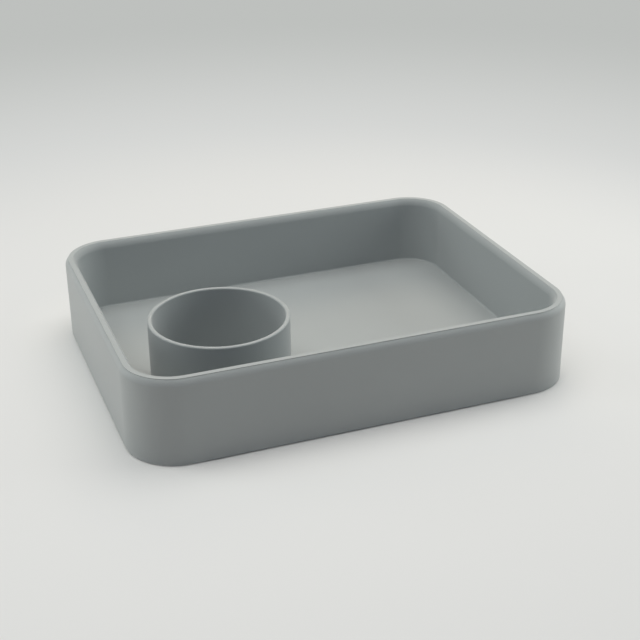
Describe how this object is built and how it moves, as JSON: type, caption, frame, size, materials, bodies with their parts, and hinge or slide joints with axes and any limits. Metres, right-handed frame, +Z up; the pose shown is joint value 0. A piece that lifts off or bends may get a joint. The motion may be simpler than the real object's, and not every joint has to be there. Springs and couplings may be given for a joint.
{
  "type": "key tray",
  "caption": "Shallow rectangular key tray with rounded corners, a rounded rim and a thin round cup that lifts out of a recess near one corner, on soft anti-slip feet.",
  "frame": {"origin": "under the middle of the tray, on the surface that the feet stand on", "axes": "+X along the tray's length, +Y to the back, +Z up; the cup is near the corner at -X and -Y"},
  "size_m": [0.18, 0.14, 0.035],
  "materials": {
    "tray_plastic": "fine matte grain, light and slightly cool grey",
    "cup_plastic": "fine matte grain, light and slightly cool grey",
    "foot_rubber": "dull dark grey rubber"
  },
  "bodies": {
    "tray": {"tray": "tray_plastic", "foot_front_left": "foot_rubber", "foot_front_right": "foot_rubber", "foot_rear_left": "foot_rubber", "foot_rear_right": "foot_rubber"},
    "cup": {"cup": "cup_plastic"}
  },
  "joints": [
    {"name": "cup_lift", "type": "slide", "parent": "tray", "child": "cup", "axis": [0, 0, 1], "range_m": [0, 0.06]}
  ]
}
